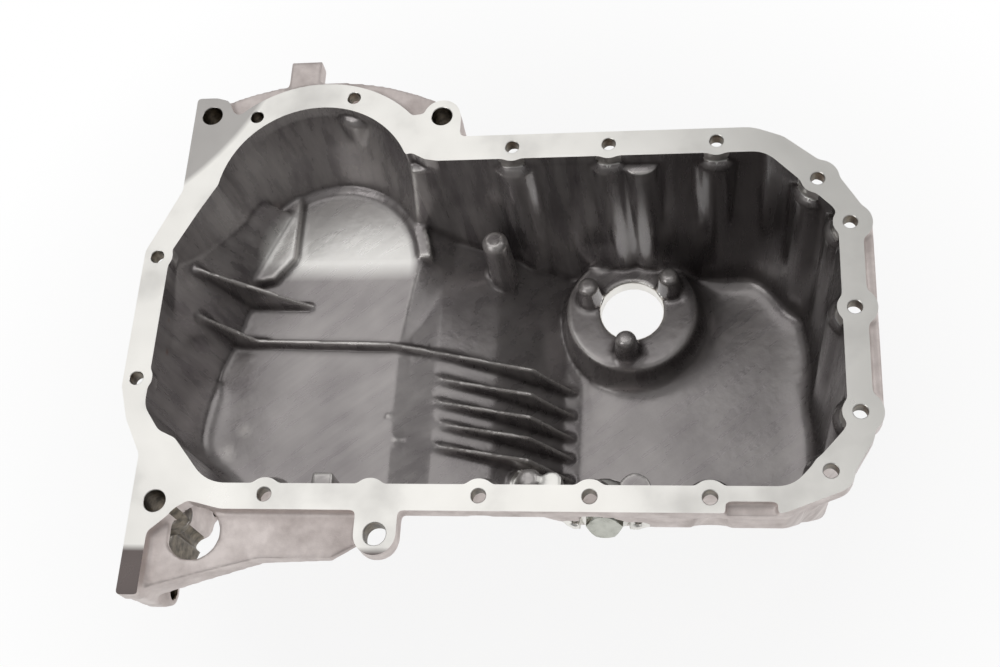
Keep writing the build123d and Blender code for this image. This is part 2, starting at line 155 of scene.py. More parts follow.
def seenDirectly(tree):
    path = addNode(tree, "ShaderNodeLightPath")
    either = addNode(
        tree, "ShaderNodeMath",
        {0: path.outputs["Is Camera Ray"], 1: path.outputs["Is Transmission Ray"]}, operation="MAXIMUM",
    )
    return either.outputs[0], path.outputs["Is Glossy Ray"]


def makeWorld():
    world = bpy.data.worlds.new("studio")
    bpy.context.scene.world = world
    world.use_nodes = True
    tree = world.node_tree
    tree.nodes.clear()
    direction = addNode(tree, "ShaderNodeTexCoord").outputs["Generated"]
    height = addNode(tree, "ShaderNodeSeparateXYZ", {0: direction}).outputs["Z"]
    lift = addNode(tree, "ShaderNodeMapRange", {"Value": height, "From Min": 0.0, "From Max": 0.8}).outputs[0]
    shade = addNode(
        tree, "ShaderNodeMix",
        {0: lift, 6: hexToLinear(studio["horizon"]), 7: hexToLinear(studio["ceiling"])}, data_type="RGBA",
    ).outputs[2]
    lit = addNode(
        tree, "ShaderNodeBackground", {"Color": shade, "Strength": studio["ceilingStrength"]}
    ).outputs[0]
    backdrop = addNode(
        tree, "ShaderNodeBackground", {"Color": hexToLinear(studio["white"]), "Strength": 1.0}
    ).outputs[0]
    direct = seenDirectly(tree)[0]
    both = addNode(tree, "ShaderNodeMixShader", {0: direct, 1: lit, 2: backdrop}).outputs[0]
    addNode(tree, "ShaderNodeOutputWorld", {"Surface": both})


def makeFloor():
    half = studio["floorSize"] * mm / 2
    height = studio["floorHeight"] * mm
    mesh = bpy.data.meshes.new("floor")
    corners = [(-half, -half, height), (half, -half, height), (half, half, height), (-half, half, height)]
    mesh.from_pydata(corners, [], [(0, 1, 2, 3)])
    floor = newPiece("floor", mesh)
    material, tree, shader = newMaterial("paleFloor")
    shader.inputs["Base Color"].default_value = hexToLinear(studio["floorColour"])
    shader.inputs["Roughness"].default_value = 0.9
    place = addNode(tree, "ShaderNodeNewGeometry").outputs["Position"]
    centre = tuple(value * mm for value in studio["centre"])
    away = addNode(tree, "ShaderNodeVectorMath", {0: place, 1: centre}, operation="DISTANCE").outputs["Value"]
    clear = addNode(
        tree, "ShaderNodeMapRange",
        {"Value": away, "From Min": studio["nearRadius"] * mm, "From Max": studio["farRadius"] * mm,
         "To Min": studio["clearNear"], "To Max": 1.0},
    ).outputs[0]
    direct, glossy = seenDirectly(tree)
    seen = addNode(tree, "ShaderNodeMath", {0: direct, 1: glossy}, operation="MAXIMUM").outputs[0]
    share = addNode(tree, "ShaderNodeMath", {0: seen, 1: clear}, operation="MULTIPLY").outputs[0]
    glow = addNode(
        tree, "ShaderNodeEmission", {"Color": hexToLinear(studio["white"]), "Strength": 1.0}
    ).outputs[0]
    both = addNode(tree, "ShaderNodeMixShader", {0: share, 1: shader.outputs[0], 2: glow}).outputs[0]
    tree.links.new(both, tree.nodes["Material Output"].inputs["Surface"])
    mesh.materials.append(material)


makeCamera()
makeLamps()
makeWorld()
makeFloor()
print("stage set")

# Finishes

milled = {
    "bright": "#F1EFEA",
    "dull": "#B3B0AD",
    "dark": "#6E6664",
    "darkEnd": (-143, -147),
    "roughness": (0.26, 0.40),
    "toolMark": 1.6,  # real feed marks are 0.3 mm apart, drawn coarser so they show
    "stain": 45,
    "sweepCentre": (-40, 30, 0),
    "markDepth": 0.02,
    "dullCorners": ((-387, 228, 0, 182),),
    "dullEdge": 4,
}


def makeMilled():
    # Aluminium 383, face-milled: a bright silver face with faint sweeping feed marks.
    material, tree, shader = newMaterial("faceMilledAluminium")
    place = addNode(tree, "ShaderNodeTexCoord").outputs["Object"]
    cloud = addNode(
        tree, "ShaderNodeTexNoise", {"Vector": place, "Scale": patternScale(milled["stain"]), "Detail": 4.0}
    ).outputs[0]
    stain = addNode(
        tree, "ShaderNodeMapRange", {"Value": cloud, "From Min": 0.52, "From Max": 0.78, "To Max": 0.4}
    ).outputs[0]
    for x, y, z, reach in milled["dullCorners"]:
        away = addNode(
            tree, "ShaderNodeVectorMath", {0: place, 1: (x * mm, y * mm, z * mm)}, operation="DISTANCE"
        )
        corner = addNode(
            tree, "ShaderNodeMapRange",
            {
                "Value": away.outputs["Value"], "From Min": reach * mm,
                "From Max": (reach - milled["dullEdge"]) * mm, "To Max": 1.0,
            },
        ).outputs[0]
        stain = addNode(tree, "ShaderNodeMath", {0: stain, 1: corner}, operation="MAXIMUM").outputs[0]
    tint = addNode(
        tree, "ShaderNodeMix",
        {0: stain, 6: hexToLinear(milled["bright"]), 7: hexToLinear(milled["dull"])}, data_type="RGBA",
    ).outputs[2]
    start, end = milled["darkEnd"]
    across = addNode(tree, "ShaderNodeSeparateXYZ", {0: place}).outputs["Y"]
    wing = addNode(
        tree, "ShaderNodeMapRange", {"Value": across, "From Min": start * mm, "From Max": end * mm}
    ).outputs[0]
    tint = addNode(
        tree, "ShaderNodeMix", {0: wing, 6: tint, 7: hexToLinear(milled["dark"])}, data_type="RGBA"
    ).outputs[2]
    centre = addNode(
        tree, "ShaderNodeMapping",
        {"Vector": place, "Location": tuple(-v * mm for v in milled["sweepCentre"])},
    ).outputs[0]
    marks = addNode(
        tree, "ShaderNodeTexWave",
        {
            "Vector": centre, "Scale": patternScale(milled["toolMark"]) / 20, "Distortion": 0.6,
            "Detail": 2.0, "Detail Scale": 2.0,
        },
        wave_type="RINGS", rings_direction="Z",
    ).outputs["Fac"]
    low, high = milled["roughness"]
    gloss = addNode(
        tree, "ShaderNodeMapRange",
        {"Value": cloud, "From Min": 0.3, "From Max": 0.7, "To Min": low, "To Max": high},
    )
    relief = addNode(
        tree, "ShaderNodeBump", {"Height": marks, "Strength": 0.25, "Distance": milled["markDepth"] * mm}
    ).outputs[0]
    shader.inputs["Metallic"].default_value = 1.0
    tree.links.new(tint, shader.inputs["Base Color"])
    tree.links.new(gloss.outputs[0], shader.inputs["Roughness"])
    tree.links.new(relief, shader.inputs["Normal"])
    return material


inside = {
    "dark": "#837D7E",
    "light": "#B5B0AE",
    # Painted shade: the corner colour darkens the valleys and the front walls.
    "corner": "#3E3736",
    # Painted highlight: the crest colour lightens ridges and fillets.
    "crest": "#E2DEDA",
    "flow": "#DAD5D1",
    "rust": "#8A5636",
    # The pad colour: partly the pad's smoother finish, partly a painted reflection.
    "polishAndReflection": "#F4F2EE",
    "pad": (-184, 73, -78.5, 55),  # x, y, z, reach
    "padFold": (62, 74),
    "padReflectionBand": (122, 84),
    "streak": 8,
    "scuff": 7,
    "patch": 38,
    "speckle": 6,
    "grain": 0.9,
    "grainDepth": 0.1,
    "ripple": 7,
    "rippleDepth": 0.4,
    "roughness": (0.2, 0.38),
    "metallic": 0.6,
    "oilFilm": 0.5,
    "oilGloss": 0.14,
    # Painted shade: the upright walls darken towards the front end.
    "frontDark": (-60, 60),  # the walls darken between these stations
    "rustSpots": ((-268, 3.6, -14, 3.2), (-268, -16, -18.6, 4.2)),
    "flowSpots": ((-247, -58, -86, 13), (-237, -42, -87, 10)),
}


def makeCastInside():
    # Aluminium 383, die cast and oil-darkened: brown-grey skin, upright glossy streaks on the walls (their
    # lighter colour a painted sheen), slanting scuffs on the floors, painted shade in the corners and on the
    # front walls, and painted highlights on the crests.
    material, tree, shader = newMaterial("oiledCastAluminium")
    place = addNode(tree, "ShaderNodeTexCoord").outputs["Object"]
    upright = addNode(tree, "ShaderNodeMapping", {"Vector": place, "Scale": (1.0, 1.0, 0.12)}).outputs[0]
    slanting = addNode(
        tree, "ShaderNodeMapping",
        {"Vector": place, "Rotation": (0, 0, math.radians(38)), "Scale": (6.0, 1.0, 1.0)},
        vector_type="TEXTURE",
    ).outputs[0]
    # Upright streaks vary the walls' roughness and lighten their colour as a painted sheen; the slanting
    # scuffs on the floors are real marks.
    streak = addNode(
        tree, "ShaderNodeTexNoise",
        {"Vector": upright, "Scale": patternScale(inside["streak"]), "Detail": 5.0, "Roughness": 0.55},
    ).outputs[0]
    scuff = addNode(
        tree, "ShaderNodeTexNoise",
        {"Vector": slanting, "Scale": patternScale(inside["scuff"]), "Detail": 2.0, "Roughness": 0.5},
    ).outputs[0]
    normal = addNode(tree, "ShaderNodeNewGeometry").outputs["Normal"]
    level = addNode(tree, "ShaderNodeSeparateXYZ", {0: normal}).outputs["Z"]
    flat = addNode(tree, "ShaderNodeMapRange", {"Value": level, "From Min": 0.35, "From Max": 0.8}).outputs[0]
    quiet = addNode(
        tree, "ShaderNodeMapRange",
        {"Value": scuff, "From Min": 0.0, "From Max": 1.0, "To Min": 0.34, "To Max": 0.66},
    ).outputs[0]
    scuffAndSheen = addNode(tree, "ShaderNodeMix", {0: flat, 2: streak, 3: quiet}).outputs[0]
    patch = addNode(
        tree, "ShaderNodeTexNoise", {"Vector": place, "Scale": patternScale(inside["patch"]), "Detail": 2.0}
    ).outputs[0]
    blend = addNode(tree, "ShaderNodeMath", {0: patch, 1: 0.45, 2: scuffAndSheen}, operation="MULTIPLY_ADD").outputs[0]
    lightness = addNode(
        tree, "ShaderNodeMapRange", {"Value": blend, "From Min": 0.52, "From Max": 0.93}
    ).outputs[0]
    tint = addNode(
        tree, "ShaderNodeMix",
        {0: lightness, 6: hexToLinear(inside["dark"]), 7: hexToLinear(inside["light"])}, data_type="RGBA",
    ).outputs[2]
    spot = addNode(tree, "ShaderNodeSeparateXYZ", {0: place})
    # Painted shade: upright walls are mixed toward the corner colour towards the front end.
    rear, front = inside["frontDark"]
    forward = addNode(
        tree, "ShaderNodeMapRange",
        {"Value": spot.outputs["X"], "From Min": rear * mm, "From Max": front * mm, "To Max": 0.8},
    )
    upstanding = addNode(tree, "ShaderNodeMath", {0: 1.0, 1: flat}, operation="SUBTRACT").outputs[0]
    paintedWallShade = addNode(
        tree, "ShaderNodeMath", {0: forward.outputs[0], 1: upstanding}, operation="MULTIPLY"
    ).outputs[0]
    x, y, z, reach = inside["pad"]
    away = addNode(
        tree, "ShaderNodeVectorMath", {0: place, 1: (x * mm, y * mm, z * mm)}, operation="DISTANCE"
    ).outputs["Value"]
    pad = addNode(
        tree, "ShaderNodeMapRange", {"Value": away, "From Min": reach * mm, "From Max": (reach - 6) * mm}
    ).outputs[0]
    across = spot.outputs["Y"]
    low, high = inside["padFold"]
    beyond = addNode(
        tree, "ShaderNodeMapRange", {"Value": across, "From Min": low * mm, "From Max": high * mm}
    ).outputs[0]
    pad = addNode(tree, "ShaderNodeMath", {0: pad, 1: beyond}, operation="MULTIPLY").outputs[0]
    # Painted reflection: a bright stripe across the pad that grows towards the fold.
    low, high = inside["padReflectionBand"]
    reflectionBand = addNode(
        tree, "ShaderNodeMapRange",
        {"Value": across, "From Min": low * mm, "From Max": high * mm, "To Min": 0.35, "To Max": 1.0},
    ).outputs[0]
    pad = addNode(tree, "ShaderNodeMath", {0: pad, 1: reflectionBand}, operation="MULTIPLY").outputs[0]
    tint = addNode(
        tree, "ShaderNodeMix", {0: pad, 6: tint, 7: hexToLinear(inside["polishAndReflection"])}, data_type="RGBA"
    ).outputs[2]
    broken = addNode(
        tree, "ShaderNodeTexNoise",
        {"Vector": place, "Scale": patternScale(inside["speckle"]), "Detail": 8.0, "Roughness": 0.72},
    ).outputs[0]
    for spots, colour, edge in (
        (inside["flowSpots"], inside["flow"], 0.6), (inside["rustSpots"], inside["rust"], 0.5)
    ):
        for x, y, z, reach in spots:
            away = addNode(
                tree, "ShaderNodeVectorMath", {0: place, 1: (x * mm, y * mm, z * mm)}, operation="DISTANCE"
            )
            near = addNode(
                tree, "ShaderNodeMapRange",
                {"Value": away.outputs["Value"], "From Min": reach * mm, "From Max": 0.0, "To Max": 1.2},
            ).outputs[0]
            worn = addNode(tree, "ShaderNodeMath", {0: near, 1: broken}, operation="MULTIPLY").outputs[0]
            mark = addNode(
                tree, "ShaderNodeMapRange",
                {"Value": worn, "From Min": edge * 0.35, "From Max": edge, "To Max": 0.5},
            ).outputs[0]
            tint = addNode(
                tree, "ShaderNodeMix", {0: mark, 6: tint, 7: hexToLinear(colour)}, data_type="RGBA"
            ).outputs[2]
    # Painted shade: valleys (bend below 0) are darkened toward the corner colour.
    bend = addNode(tree, "ShaderNodeAttribute", attribute_name="bend").outputs["Fac"]
    corner = addNode(
        tree, "ShaderNodeMapRange", {"Value": bend, "From Min": -0.06, "From Max": -0.6, "To Max": 0.7}
    ).outputs[0]
    tint = addNode(
        tree, "ShaderNodeMix", {0: corner, 6: tint, 7: hexToLinear(inside["corner"])}, data_type="RGBA"
    ).outputs[2]
    # Painted highlight: ridges (bend above 0) are lightened toward the crest colour.
    crest = addNode(
        tree, "ShaderNodeMapRange", {"Value": bend, "From Min": 0.2, "From Max": 0.9, "To Max": 0.8}
    ).outputs[0]
    tint = addNode(
        tree, "ShaderNodeMix", {0: crest, 6: tint, 7: hexToLinear(inside["crest"])}, data_type="RGBA"
    ).outputs[2]
    # Painted shade on the front walls.
    tint = addNode(
        tree, "ShaderNodeMix", {0: paintedWallShade, 6: tint, 7: hexToLinear(inside["corner"])}, data_type="RGBA"
    ).outputs[2]
    low, high = inside["roughness"]
    gloss = addNode(
        tree, "ShaderNodeMapRange",
        {"Value": scuffAndSheen, "From Min": 0.35, "From Max": 0.65, "To Min": low, "To Max": high},
    )
    grain = addNode(
        tree, "ShaderNodeTexNoise", {"Vector": place, "Scale": patternScale(inside["grain"]), "Detail": 3.0}
    ).outputs[0]
    ripple = addNode(
        tree, "ShaderNodeTexNoise",
        {"Vector": upright, "Scale": patternScale(inside["ripple"]), "Detail": 2.0},
    ).outputs[0]
    waves = addNode(
        tree, "ShaderNodeBump", {"Height": ripple, "Strength": 0.5, "Distance": inside["rippleDepth"] * mm}
    ).outputs[0]
    relief = addNode(
        tree, "ShaderNodeBump",
        {"Height": grain, "Strength": 0.3, "Distance": inside["grainDepth"] * mm, "Normal": waves},
    ).outputs[0]
    shader.inputs["Metallic"].default_value = inside["metallic"]
    shader.inputs["Coat Weight"].default_value = inside["oilFilm"]
    shader.inputs["Coat Roughness"].default_value = inside["oilGloss"]
    tree.links.new(tint, shader.inputs["Base Color"])
    tree.links.new(gloss.outputs[0], shader.inputs["Roughness"])
    tree.links.new(relief, shader.inputs["Normal"])
    return material


outside = {
    "base": "#EDE3DF",
    "shade": "#CDC2BE",
    "grain": 0.8,
    "grainDepth": 0.15,
    "mottle": 16,
    "roughness": (0.42, 0.58),
    "metallic": 0.6,
}


def makeCastOutside():
    # Aluminium 383, die cast: a soft pink-grey skin with a fine sandy grain.
    material, tree, shader = newMaterial("dieCastAluminium")
    place = addNode(tree, "ShaderNodeTexCoord").outputs["Object"]
    mottle = addNode(
        tree, "ShaderNodeTexNoise",
        {"Vector": place, "Scale": patternScale(outside["mottle"]), "Detail": 5.0, "Roughness": 0.6},
    ).outputs[0]
    factor = addNode(
        tree, "ShaderNodeMapRange", {"Value": mottle, "From Min": 0.32, "From Max": 0.68}
    ).outputs[0]
    tint = addNode(
        tree, "ShaderNodeMix",
        {0: factor, 6: hexToLinear(outside["shade"]), 7: hexToLinear(outside["base"])}, data_type="RGBA",
    ).outputs[2]
    low, high = outside["roughness"]
    gloss = addNode(
        tree, "ShaderNodeMapRange",
        {"Value": mottle, "From Min": 0.3, "From Max": 0.7, "To Min": high, "To Max": low},
    )
    grain = addNode(
        tree, "ShaderNodeTexNoise", {"Vector": place, "Scale": patternScale(outside["grain"]), "Detail": 3.0}
    ).outputs[0]
    relief = addNode(
        tree, "ShaderNodeBump", {"Height": grain, "Strength": 0.5, "Distance": outside["grainDepth"] * mm}
    ).outputs[0]
    shader.inputs["Metallic"].default_value = outside["metallic"]
    tree.links.new(tint, shader.inputs["Base Color"])
    tree.links.new(gloss.outputs[0], shader.inputs["Roughness"])
    tree.links.new(relief, shader.inputs["Normal"])
    return material


drilled = {
    # Both colours are painted shade, mixed at random.
    "lightHoleShade": "#7A7061",
    "darkHoleShade": "#3E362B",
    "ring": 1.6,
    "ringDepth": 0.08,
    "shadeMottle": 5,
    "roughness": 0.4,
}


def makeDrilled():
    # Aluminium 383, drilled: dark brown-grey walls that paint the shade in deep holes and hollows, with faint
    # turned rings.
    material, tree, shader = newMaterial("shadedDrilledAluminium")
    place = addNode(tree, "ShaderNodeTexCoord").outputs["Object"]
    shadeMottle = addNode(
        tree, "ShaderNodeTexNoise", {"Vector": place, "Scale": patternScale(drilled["shadeMottle"]), "Detail": 4.0}
    ).outputs[0]
    factor = addNode(
        tree, "ShaderNodeMapRange", {"Value": shadeMottle, "From Min": 0.35, "From Max": 0.65}
    ).outputs[0]
    tint = addNode(
        tree, "ShaderNodeMix", {
            0: factor, 6: hexToLinear(drilled["darkHoleShade"]), 7: hexToLinear(drilled["lightHoleShade"])
        }, data_type="RGBA"
    ).outputs[2]
    rings = addNode(
        tree, "ShaderNodeTexWave", {
            "Vector": place, "Scale": patternScale(drilled["ring"]) / 20, "Distortion": 0.3
        }, bands_direction="Z"
    ).outputs["Fac"]
    relief = addNode(
        tree, "ShaderNodeBump", {"Height": rings, "Strength": 0.3, "Distance": drilled["ringDepth"] * mm}
    ).outputs[0]
    shader.inputs["Metallic"].default_value = 1.0
    shader.inputs["Roughness"].default_value = drilled["roughness"]
    tree.links.new(tint, shader.inputs["Base Color"])
    tree.links.new(relief, shader.inputs["Normal"])
    return material


zinc = {"pale": "#C6C7BF", "deep": "#A3A49C", "patch": 9, "roughness": (0.2, 0.34)}


def makeZinc():
    # Steel, zinc plated and passivated: pale silver, a little cloudy.
    material, tree, shader = newMaterial("zincPlatedSteel")
    place = addNode(tree, "ShaderNodeTexCoord").outputs["Object"]
    cloud = addNode(
        tree, "ShaderNodeTexNoise", {"Vector": place, "Scale": patternScale(zinc["patch"]), "Detail": 4.0}
    ).outputs[0]
    factor = addNode(
        tree, "ShaderNodeMapRange", {"Value": cloud, "From Min": 0.35, "From Max": 0.65}
    ).outputs[0]
    tint = addNode(
        tree, "ShaderNodeMix", {
            0: factor, 6: hexToLinear(zinc["deep"]), 7: hexToLinear(zinc["pale"])
        }, data_type="RGBA"
    ).outputs[2]
    low, high = zinc["roughness"]
    gloss = addNode(
        tree, "ShaderNodeMapRange",
        {"Value": cloud, "From Min": 0.3, "From Max": 0.7, "To Min": low, "To Max": high},
    )
    shader.inputs["Metallic"].default_value = 1.0
    tree.links.new(tint, shader.inputs["Base Color"])
    tree.links.new(gloss.outputs[0], shader.inputs["Roughness"])
    return material


ring = {"soft": "#C3BFB9", "worn": "#99938C", "patch": 2.5, "dentDepth": 0.1, "roughness": 0.48}


def makeWasherMetal():
    # Soft aluminium, blanked and crushed once: matt, with darker pressed patches.
    material, tree, shader = newMaterial("softAluminiumWasher")
    place = addNode(tree, "ShaderNodeTexCoord").outputs["Object"]
    cloud = addNode(
        tree, "ShaderNodeTexNoise", {"Vector": place, "Scale": patternScale(ring["patch"]), "Detail": 3.0}
    ).outputs[0]
    factor = addNode(
        tree, "ShaderNodeMapRange", {"Value": cloud, "From Min": 0.35, "From Max": 0.65}
    ).outputs[0]
    tint = addNode(
        tree, "ShaderNodeMix", {
            0: factor, 6: hexToLinear(ring["worn"]), 7: hexToLinear(ring["soft"])
        }, data_type="RGBA"
    ).outputs[2]
    relief = addNode(
        tree, "ShaderNodeBump", {"Height": cloud, "Strength": 0.3, "Distance": ring["dentDepth"] * mm}
    ).outputs[0]
    shader.inputs["Metallic"].default_value = 1.0
    shader.inputs["Roughness"].default_value = ring["roughness"]
    tree.links.new(tint, shader.inputs["Base Color"])
    tree.links.new(relief, shader.inputs["Normal"])
    return material


finishes = {
    "milled": makeMilled(),
    "inside": makeCastInside(),
    "outside": makeCastOutside(),
    "drilled": makeDrilled(),
    "zinc": makeZinc(),
    "washer": makeWasherMetal(),
}
print("finishes made")

# Casting: the frame's solid with an allowance left on the gasket face, softened like a casting, then machined

farBolts = ((-57.1, 112.8), (2.8, 112.8), (68.2, 112.8))
nearBolts = ((-188.5, -112.8), (-64.7, -112.8), (-2.8, -112.8), (62.7, -112.8))
frontBolts = ((127.2, 84.7), (144.7, 55.0), (144.7, 0.3), (144.7, -63.1), (127.4, -97.3))
wallBolts = farBolts + nearBolts + frontBolts  # their noses stand into the room
pan = {
    "allowance": 3.0,
    "voxel": 1.25,
    "evening": 18,
    "softening": 14,
    "deepRounds": 24,
    "deepSteps": 12,
    "sumpLevel": (-75, -115),
    "sumpFrom": (-20, 5),
    "bayLevel": (-50, -76),
    "bayFrom": (-222, -240),
    "bayAcross": (-8, -22),
    "creaseFrom": (-132, -122, -52, -42),  # stations between which the top of the ramp is rounded
    "creaseBend": 0.8,
    "seatRing": (34, 42),
    "bendReach": 0.12,
    "valleyShare": 0.55,
    "ridgeShare": 0.16,
    "bossLevel": -11.2,
    "bossShare": 0.35,
    "deepRidgeShare": 0.03,
    "triangles": 165000,
    "sharpAngle": 38,
    "smallHoles": (*wallBolts, (-277.0, 40.9), (-277.0, -40.9), (-225.2, 141.3), (-161.9, 153.3)),
    "noseHoles": (*wallBolts, (-127.0, -112.8)),
    "largeHoles": ((-255.7, 143.5), (-253.3, -117.3), (-103.2, 137.2), (-121.9, -135.4)),
    "smallRadius": 4.2,
    "largeRadius": 6.6,
    "holeChamfer": 0.35,
    "holeDepth": 46,
    "noseRadius": 10.0,
    "noseDepth": 7.6,
    "beads": (  # x, y, and the way into the room in degrees
        (-57.1, 112.8, -90), (2.8, 112.8, -90), (68.2, 112.8, -90), (-161.9, 153.3, -106),
        (-188.5, -112.8, 90), (-64.7, -112.8, 90), (-2.8, -112.8, 90), (62.7, -112.8, 90),
        (127.2, 84.7, -135), (144.7, 55.0, 180), (144.7, 0.3, 180), (144.7, -63.1, 180), (127.4, -97.3, 135),
    ),
    "beadDepth": 10.0,
    "beadRadius": 10.7,
    "beadThick": 2.3,
    "beadSpan": 60,
    "flatStud": (-28.0, -94.6, 7.6, -52.0),  # x, y, radius, foot
    "gearboxFace": -267.4,
    "gearboxHoles": ((-157.5, -47.5), (127.0, -66.0), (-92.0, -96.0), (92.0, -96.0)),
    "gearboxRadius": 5.3,
    "gearboxDepth": 30,
    "sensor": (9.7, 65.2),
    "sensorBore": 21.5,
    "sensorRecess": 36.0,
    "sensorHeights": (-139.0, -152.0),
    "sensorScrews": ((32.0, 162.0, 265.0), 30.4, 2.5, 27.0),  # angles, circle, radius, depth
    "bracketHole": (-230.3, -133.8, 15.8, -245.0),  # x, y, radius, station of its flat
    "bracketWindow": (-233, -129, 29, 17, -10),  # middle x and y, half sizes, top
}
portPlane = {"seat": (0.6, -103.5, -66.5), "across": (1, 0, 0), "tilt": 24.0, "bore": 7.06, "depth": 18.0}
drainPlane = {"seat": (-63.5, -66.0, -146.5), "across": (0, 1, 0), "tilt": 41.0, "bore": 7.06, "depth": 14.0}
spotFace = {"radius": 15.0, "height": 15.5}
portEars = {
    "pitch": 37.4,
    "shift": (1.2, 1.0),
    "width": 14.5,
    "height": 6.6,
    "thread": 2.1,
    "depth": 11.0,
    "milledZone": (27, 7.5, -5, 6.7),  # half sizes, lowest and highest
}


def seatMatrix(plane):
    lean = math.radians(plane["tilt"])
    if plane is portPlane:
        axis = Vector((0, -math.cos(lean), math.sin(lean)))
    else:
        axis = Vector((-math.sin(lean), 0, -math.cos(lean)))
    across = Vector(plane["across"])
    turn = Matrix((across, axis.cross(across), axis)).transposed().to_4x4()
    return Matrix.Translation(Vector(plane["seat"]) * mm) @ turn


def revolve(work, profile, matrix, steps=48):
    # A closed turned shape from (radius, height) points that start and end on the axis.
    rings = []
    for radius, height in profile[1:-1]:
        turns = [2 * math.pi * i / steps for i in range(steps)]
        points = [(radius * math.cos(a) * mm, radius * math.sin(a) * mm, height * mm) for a in turns]
        rings.append([work.verts.new(matrix @ Vector(point)) for point in points])
    ends = [work.verts.new(matrix @ Vector((0, 0, profile[i][1] * mm))) for i in (0, -1)]
    for i in range(steps):
        j = (i + 1) % steps
        work.faces.new((ends[0], rings[0][j], rings[0][i]))
        work.faces.new((ends[1], rings[-1][i], rings[-1][j]))
        for lower, upper in zip(rings, rings[1:]):
            work.faces.new((lower[i], lower[j], upper[j], upper[i]))


def prism(work, outline, bottom, top, matrix):
    low = [work.verts.new(matrix @ Vector((x * mm, y * mm, bottom * mm))) for x, y in outline]
    high = [work.verts.new(matrix @ Vector((x * mm, y * mm, top * mm))) for x, y in outline]
    work.faces.new(list(reversed(low)))
    work.faces.new(high)
    for i in range(len(outline)):
        j = (i + 1) % len(outline)
        work.faces.new((low[i], low[j], high[j], high[i]))


def arc(x, y, radius, start, end, steps=24):
    turns = [math.radians(start + (end - start) * i / steps) for i in range(steps + 1)]
    return [(x + radius * math.cos(a), y + radius * math.sin(a)) for a in turns]


def boltCut(work, x, y, radius):
    mouth = pan["holeChamfer"]
    profile = [
        (0, -pan["holeDepth"]), (radius, -pan["holeDepth"]), (radius, -mouth), (radius + mouth + 1, 1), (0, 1)
    ]
    revolve(work, profile, Matrix.Translation((x * mm, y * mm, 0)))


def drillBolts(work):
    for x, y in pan["smallHoles"]:
        boltCut(work, x, y, pan["smallRadius"])
    for x, y in pan["largeHoles"]:
        boltCut(work, x, y, pan["largeRadius"])


def boreSeats(work):
    x, y = pan["sensor"]
    top, face = pan["sensorHeights"]
    bore, recess = pan["sensorBore"], pan["sensorRecess"]
    profile = [
        (0, -210), (recess, -210), (recess, face), (bore, face), (bore, top - 0.8), (bore + 2, top + 1.2),
        (0, top + 1.2),
    ]
    revolve(work, profile, Matrix.Translation((x * mm, y * mm, 0)), 96)
    for plane in (portPlane, drainPlane):
        bore, depth, wide = plane["bore"], plane["depth"], spotFace["radius"]
        profile = [
            (0, -depth), (bore, -depth), (bore, -0.6), (bore + 0.6, 0), (wide, 0),
            (wide, spotFace["height"]), (0, spotFace["height"]),
        ]
        revolve(work, profile, seatMatrix(plane), 72)
    sideways = Matrix.Rotation(math.radians(90), 4, "Y")
    for y, z in pan["gearboxHoles"]:
        matrix = Matrix.Translation((pan["gearboxFace"] * mm, y * mm, z * mm)) @ sideways
        radius, depth = pan["gearboxRadius"], pan["gearboxDepth"]
        revolve(work, [(0, -2), (radius + 2.5, -2), (radius, 0.5), (radius, depth), (0, depth)], matrix)


def millPockets(work):
    ear, half = portEars, portEars["width"] / 2
    x, y = ear["shift"]
    right = arc(x + ear["pitch"] / 2, y, half, -90, 90)
    left = arc(x - ear["pitch"] / 2, y, half, 90, 270)
    prism(work, right + left, ear["height"], spotFace["height"], seatMatrix(portPlane))
    x, y, radius, flat = pan["bracketHole"]
    opening = math.degrees(math.acos((flat - x) / radius))
    prism(work, arc(x, y, radius, -opening, opening, 48), -40, 1, Matrix.Identity(4))


def tapHoles(work):
    ear = portEars
    for side in (-1, 1):
        spot = Matrix.Translation(((ear["shift"][0] + side * ear["pitch"] / 2) * mm, ear["shift"][1] * mm, 0))
        radius, top = ear["thread"], ear["height"]
        profile = [
            (0, top - ear["depth"]), (radius, top - ear["depth"]), (radius, top - 0.4),
            (radius + 1.0, top + 0.6), (0, top + 0.6),
        ]
        revolve(work, profile, seatMatrix(portPlane) @ spot, 24)
    angles, circle, radius, depth = pan["sensorScrews"]
    face = pan["sensorHeights"][1]
    for angle in angles:
        x = pan["sensor"][0] + circle * math.cos(math.radians(angle))
        y = pan["sensor"][1] + circle * math.sin(math.radians(angle))
        profile = [
            (0, face - 1), (radius + 1.4, face - 1), (radius, face + 0.4), (radius, face + depth),
            (0, face + depth),
        ]
        revolve(work, profile, Matrix.Translation((x * mm, y * mm, 0)), 24)


def skimTop(work):
    prism(work, [(-320, -220), (200, -220), (200, 220), (-320, 220)], 0, 30, Matrix.Identity(4))


def bakeModifiers(piece):
    bpy.context.view_layer.update()
    graph = bpy.context.evaluated_depsgraph_get()
    baked = bpy.data.meshes.new_from_object(piece.evaluated_get(graph))
    old = piece.data
    piece.modifiers.clear()
    piece.data = baked
    bpy.data.meshes.remove(old)


def machine(piece, fill):
    work = bmesh.new()
    fill(work)
    bmesh.ops.recalc_face_normals(work, faces=work.faces)
    mesh = bpy.data.meshes.new("cutter")
    work.to_mesh(mesh)
    work.free()
    cutter = newPiece("cutter", mesh)
    before = len(piece.data.polygons)
    cut = piece.modifiers.new("cut", "BOOLEAN")
    cut.operation = "DIFFERENCE"
    cut.object = cutter
    cut.solver = "MANIFOLD"
    bakeModifiers(piece)
    bpy.data.objects.remove(cutter)
    bpy.data.meshes.remove(mesh)
    print("machined:", fill.__name__, before, "->", len(piece.data.polygons))


def readPoints(mesh):
    flat = np.empty(len(mesh.vertices) * 3, np.float32)
    mesh.vertices.foreach_get("co", flat)
    return flat.reshape(-1, 3).astype(float)


